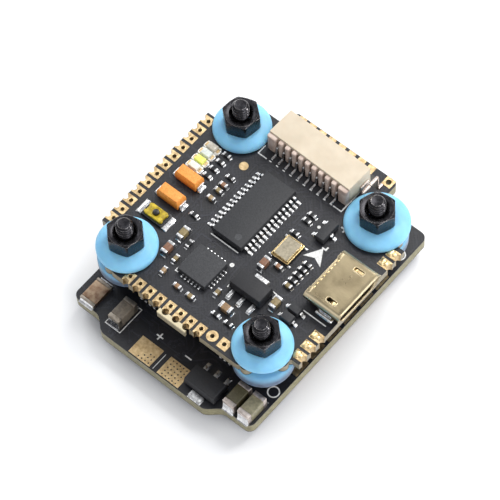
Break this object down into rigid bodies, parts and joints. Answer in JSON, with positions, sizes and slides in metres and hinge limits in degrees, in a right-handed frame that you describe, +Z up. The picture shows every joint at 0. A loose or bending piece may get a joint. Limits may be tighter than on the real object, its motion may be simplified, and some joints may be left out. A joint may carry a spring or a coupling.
{
  "type": "flight controller board",
  "caption": "Drone flight controller board soft-mounted on blue grommets over a square speed controller board, with a USB socket, plug socket and boot button.",
  "frame": {"origin": "centre of the 20 x 20 mm screw pattern, on the plane of the screw heads' lower faces", "axes": "+X towards the USB socket's side, +Y the board's forward direction (the printed arrow), +Z up along the screws"},
  "size_m": [0.0299, 0.0364, 0.0147],
  "materials": {
    "board_black": "semi-gloss black solder mask over glass fibre",
    "pad_gold": "matt immersion gold",
    "chip_black": "matt moulded epoxy",
    "tin": "satin tin plating and solder",
    "ceramic_tan": "matt brown ceramic",
    "ceramic_olive": "matt grey-olive ceramic",
    "resistor_black": "glossy black glaze",
    "shunt_copper": "oxidised copper alloy",
    "black_steel": "black oxide, oiled",
    "silicone_blue": "soft matt silicone",
    "housing_cream": "natural nylon",
    "housing_dark": "black nylon",
    "usb_steel": "champagne plated steel, rolled edges",
    "crystal_gold": "gold plated seam ring",
    "crystal_lid": "matt nickel lid",
    "tantalum_orange": "matt moulded epoxy",
    "led_white": "white moulded base",
    "led_lens": "clear epoxy over phosphor",
    "switch_yellow": "yellow passivated steel",
    "switch_black": "black nylon",
    "spring_steel": "bright spring steel"
  },
  "bodies": {
    "speed_controller": {"stack_screws": "black_steel", "lower_nuts": "black_steel", "upper_nuts": "black_steel", "grommets": "silicone_blue", "esc_board": "board_black", "battery_pads": "pad_gold", "motor_pads": "pad_gold", "esc_signal_pads": "pad_gold", "esc_capacitors": "ceramic_olive", "esc_capacitor_ends": "tin", "current_shunt": "shunt_copper", "shunt_ends": "tin", "esc_regulator": "chip_black", "esc_regulator_leads": "tin", "driver_chips": "chip_black", "driver_chip_leads": "tin", "motor_processors": "chip_black", "mosfets": "chip_black", "mosfet_leads": "tin", "esc_socket": "housing_dark", "esc_socket_pins": "tin"},
    "flight_board": {"fc_board": "board_black", "side_pads": "pad_gold", "rear_pads": "pad_gold", "usb_side_pads": "pad_gold", "test_pad": "pad_gold", "video_chip": "chip_black", "video_chip_leads": "tin", "gyro_chip": "chip_black", "gyro_pads": "tin", "crystal_base": "crystal_gold", "crystal_lid": "crystal_lid", "regulator": "chip_black", "regulator_leads": "tin", "transistor": "chip_black", "transistor_leads": "tin", "tantalum_capacitors": "tantalum_orange", "tantalum_ends": "tin", "led_bases": "led_white", "led_lenses": "led_lens", "usb_shell": "usb_steel", "usb_insulator": "housing_dark", "usb_contacts": "pad_gold", "plug_socket": "housing_cream", "plug_socket_pins": "tin", "plug_socket_tabs": "tin", "boot_switch_base": "switch_black", "boot_switch_cover": "switch_yellow", "boot_switch_ends": "tin", "boot_spring_dome": "spring_steel", "ceramic_capacitors": "ceramic_tan", "resistors": "resistor_black", "diodes": "chip_black", "part_ends": "tin", "main_processor": "chip_black", "main_processor_leads": "tin", "flash_chip": "chip_black", "underside_socket": "housing_cream", "underside_socket_pins": "tin"},
    "boot_button": {"boot_plunger": "switch_black"}
  },
  "joints": [
    {"name": "grommet_float", "type": "slide", "parent": "speed_controller", "child": "flight_board", "axis": [0, 0, 1], "range_m": [-0.0002, 0.0002], "stiffness_N_per_m": 2000, "deforming": ["grommets"]},
    {"name": "boot_press", "type": "slide", "parent": "flight_board", "child": "boot_button", "axis": [0, 0, -1], "range_m": [0, 0.0002], "stiffness_N_per_m": 400}
  ]
}
